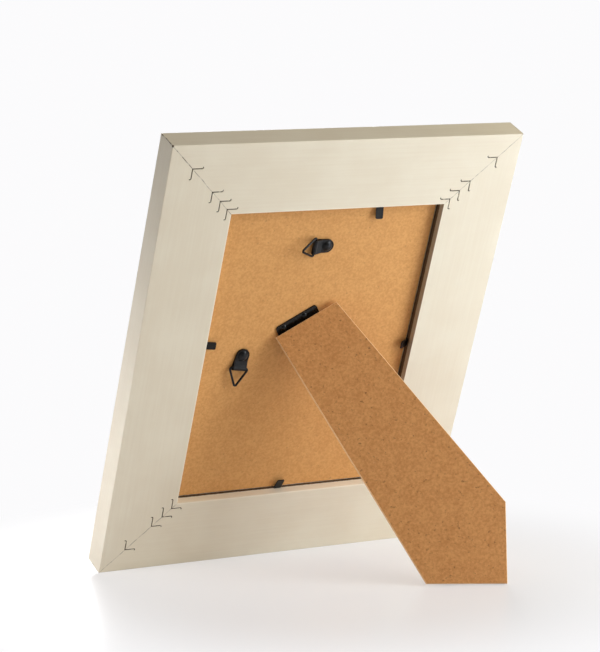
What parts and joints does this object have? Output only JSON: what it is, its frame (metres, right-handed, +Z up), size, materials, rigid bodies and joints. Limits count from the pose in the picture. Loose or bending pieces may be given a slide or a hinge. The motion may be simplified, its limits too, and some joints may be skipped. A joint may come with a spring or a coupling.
{
  "type": "easel-back picture frame",
  "caption": "Flat wooden picture frame leaning on an angled easel strut hinged to its back board, with swivelling triangle-ring hangers and bendable retaining tabs.",
  "frame": {"origin": "on the floor that the standing frame rests on, at the middle of its bounding box", "axes": "+Z up; the picture faces -Y and leans back; the strut stands on the +Y side; +X to the right of someone looking at the picture"},
  "size_m": [0.2156, 0.1497, 0.2514],
  "materials": {
    "cream_paint": "smooth satin cream paint over wood",
    "fibreboard": "raw medium-density fibreboard with a sanded face",
    "strut_fibreboard": "raw medium-density fibreboard, a little darker than the board",
    "black_steel": "black oxide steel with a soft sheen",
    "nail_steel": "dull corner-nail steel",
    "clear_glass": "clear float glass",
    "print_paper": "photographic paper with a plain printed insert"
  },
  "bodies": {
    "frame": {"bottom_rail": "cream_paint", "right_stile": "cream_paint", "top_rail": "cream_paint", "left_stile": "cream_paint", "corner_nails": "nail_steel", "glass_pane": "clear_glass", "photo_print": "print_paper", "back_board": "fibreboard", "hinge_board_leaf": "black_steel", "hinge_rivets": "black_steel", "hinge_pin": "black_steel", "top_hanger_rivet": "black_steel", "side_hanger_rivet": "black_steel", "tab_anchors": "black_steel"},
    "strut": {"easel_strut": "strut_fibreboard", "hinge_strut_leaf": "black_steel"},
    "top_strap": {"top_hanger_strap": "black_steel"},
    "top_ring": {"top_hanger_ring": "black_steel"},
    "side_strap": {"side_hanger_strap": "black_steel"},
    "side_ring": {"side_hanger_ring": "black_steel"},
    "tab_bottom": {"tab_bottom": "black_steel"},
    "tab_right": {"tab_right": "black_steel"},
    "tab_top": {"tab_top": "black_steel"},
    "tab_left": {"tab_left": "black_steel"}
  },
  "joints": [
    {"name": "strut_fold", "type": "hinge", "parent": "frame", "child": "strut", "pos_m": [0.0191, -0.01094, 0.12993], "axis": [-0.8572, 0.1973, 0.4757], "range_deg": [0, 43]},
    {"name": "top_strap_swivel", "type": "hinge", "parent": "frame", "child": "top_strap", "pos_m": [0.0005, 0.01025, 0.18626], "axis": [0, 0.9237, -0.3831], "continuous": true},
    {"name": "top_ring_swing", "type": "hinge", "parent": "top_strap", "child": "top_ring", "pos_m": [0.0083, 0.01168, 0.18566], "axis": [0, 0.3831, 0.9237], "range_deg": [-29, 136]},
    {"name": "side_strap_swivel", "type": "hinge", "parent": "frame", "child": "side_strap", "pos_m": [0.0397, -0.01516, 0.12497], "axis": [0, 0.9237, -0.3831], "continuous": true},
    {"name": "side_ring_swing", "type": "hinge", "parent": "side_strap", "child": "side_ring", "pos_m": [0.04092, -0.01668, 0.11726], "axis": [0.9877, 0.0599, 0.1445], "range_deg": [-15, 150]},
    {"name": "tab_bottom_bend", "type": "hinge", "parent": "frame", "child": "tab_bottom", "pos_m": [0, -0.0494, 0.04086], "axis": [-1, 0, 0], "range_deg": [-22, 63]},
    {"name": "tab_right_bend", "type": "hinge", "parent": "frame", "child": "tab_right", "pos_m": [0.06555, -0.01147, 0.13231], "axis": [0, -0.3831, -0.9237], "range_deg": [-12, 73]},
    {"name": "tab_top_bend", "type": "hinge", "parent": "frame", "child": "tab_top", "pos_m": [-0.028, 0.02017, 0.20861], "axis": [1, 0, 0], "range_deg": [-14, 71]},
    {"name": "tab_left_bend", "type": "hinge", "parent": "frame", "child": "tab_left", "pos_m": [-0.06555, -0.01446, 0.12511], "axis": [0, 0.3831, 0.9237], "range_deg": [-30, 55]}
  ]
}
